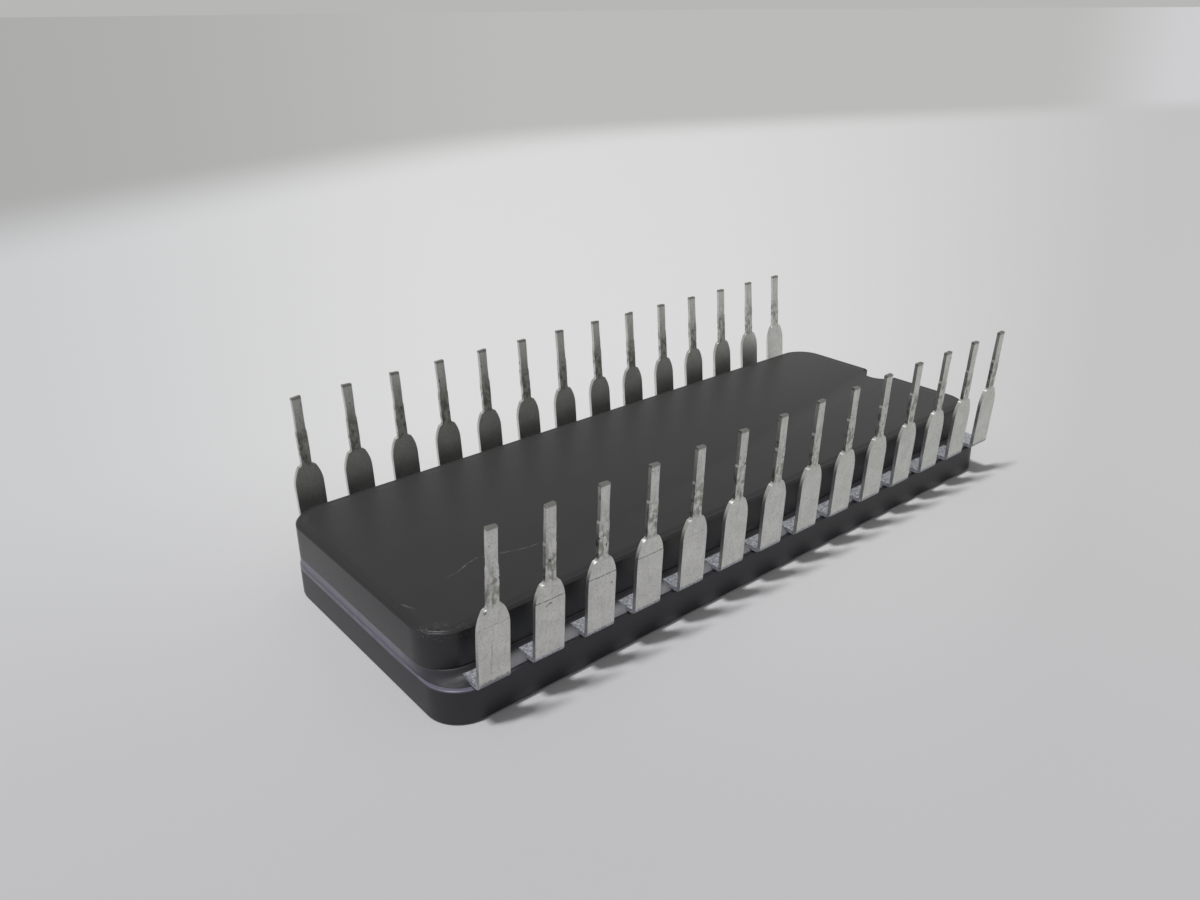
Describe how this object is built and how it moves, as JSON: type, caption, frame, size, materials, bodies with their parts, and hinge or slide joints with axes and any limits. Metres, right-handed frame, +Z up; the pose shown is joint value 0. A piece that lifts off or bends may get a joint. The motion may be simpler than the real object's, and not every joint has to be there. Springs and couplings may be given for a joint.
{
  "type": "integrated circuit",
  "caption": "Ceramic dual in-line integrated circuit lying on its lid, with two rows of formed leads pointing up and a half-round index notch at one end.",
  "frame": {"origin": "middle of the lid's outer face, on the table under the middle of the ceramic", "axes": "+X along the package to its notched end, +Y across it from leads 1 to 14 to leads 15 to 28, +Z up from the lid to the lead tips"},
  "size_m": [0.0362, 0.0164, 0.0085],
  "materials": {
    "lid_ceramic": "matte dark grey pressed ceramic",
    "base_ceramic": "matte dark grey pressed ceramic with faint scratches",
    "seal_glass": "opaque dark grey sealing glass, smooth",
    "tinned_lead": "dull tin over iron-nickel alloy",
    "silicon": "polished silicon",
    "gold": "gold-filled chip bond",
    "aluminium_wire": "drawn aluminium wire"
  },
  "bodies": {
    "root": {"ceramic_lid": "lid_ceramic", "seal_glass": "seal_glass", "ceramic_base": "base_ceramic", "chip": "silicon", "chip_attach": "gold", "bond_wires": "aluminium_wire", "lead_01": "tinned_lead", "lead_02": "tinned_lead", "lead_03": "tinned_lead", "lead_04": "tinned_lead", "lead_05": "tinned_lead", "lead_06": "tinned_lead", "lead_07": "tinned_lead", "lead_08": "tinned_lead", "lead_09": "tinned_lead", "lead_10": "tinned_lead", "lead_11": "tinned_lead", "lead_12": "tinned_lead", "lead_13": "tinned_lead", "lead_14": "tinned_lead", "lead_15": "tinned_lead", "lead_16": "tinned_lead", "lead_17": "tinned_lead", "lead_18": "tinned_lead", "lead_19": "tinned_lead", "lead_20": "tinned_lead", "lead_21": "tinned_lead", "lead_22": "tinned_lead", "lead_23": "tinned_lead", "lead_24": "tinned_lead", "lead_25": "tinned_lead", "lead_26": "tinned_lead", "lead_27": "tinned_lead", "lead_28": "tinned_lead"}
  },
  "joints": []
}
